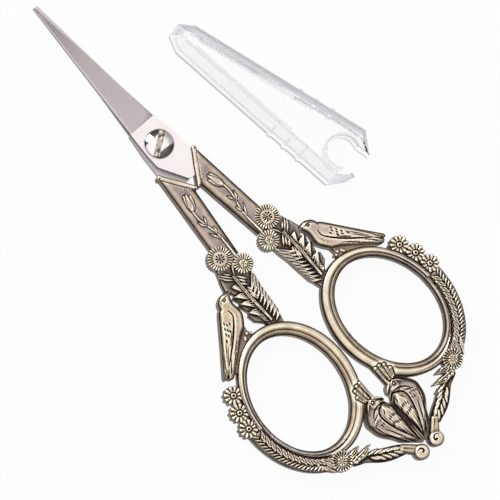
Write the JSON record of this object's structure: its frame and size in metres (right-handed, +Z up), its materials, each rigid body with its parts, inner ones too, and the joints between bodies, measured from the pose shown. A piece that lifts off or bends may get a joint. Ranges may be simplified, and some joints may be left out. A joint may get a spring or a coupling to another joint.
{
  "type": "embroidery scissors",
  "caption": "Embroidery scissors with pierced bird and flower handles cast in antiqued brass, plain steel blades on a slotted screw, and a clear sheath for the blades lying beside them.",
  "frame": {"origin": "on the pivot screw's axis, on the plane where the two blades meet", "axes": "+Y towards the blade tips, +X towards the right handle, +Z up from the surface the scissors lie on"},
  "size_m": [0.0652, 0.1275, 0.005],
  "materials": {
    "blade_steel": "satin ground stainless steel",
    "handle_casting": "antiqued brass plating with dark recesses",
    "screw_steel": "mirror polished",
    "clear_plastic": "clear moulded plastic, thin walled"
  },
  "bodies": {
    "right_half": {"top_blade": "blade_steel", "right_shank": "handle_casting", "right_collar": "handle_casting", "right_large_daisy": "handle_casting", "right_small_daisy": "handle_casting", "right_frond": "handle_casting", "right_songbird": "handle_casting", "right_finger_ring": "handle_casting", "right_blossoms": "handle_casting", "right_garland": "handle_casting", "right_tail_daisy": "handle_casting", "right_spray": "handle_casting", "right_crested_bird": "handle_casting", "right_crest": "handle_casting", "right_scroll": "handle_casting"},
    "left_half": {"bottom_blade": "blade_steel", "pivot_screw": "screw_steel", "left_shank": "handle_casting", "left_collar": "handle_casting", "left_large_daisy": "handle_casting", "left_small_daisy": "handle_casting", "left_frond": "handle_casting", "left_songbird": "handle_casting", "left_finger_ring": "handle_casting", "left_blossoms": "handle_casting", "left_garland": "handle_casting", "left_tail_daisy": "handle_casting", "left_spray": "handle_casting", "left_crested_bird": "handle_casting", "left_crest": "handle_casting", "left_scroll": "handle_casting"},
    "blade_cover": {"blade_cover": "clear_plastic"}
  },
  "joints": [
    {"name": "pivot", "type": "hinge", "parent": "right_half", "child": "left_half", "pos_m": [0, 0, 0], "axis": [0, 0, -1], "range_deg": [0, 40]},
    {"name": "cover_slide", "type": "slide", "parent": "right_half", "child": "blade_cover", "axis": [0.9783, 0.2074, 0], "range_m": [0, 0.045]}
  ]
}
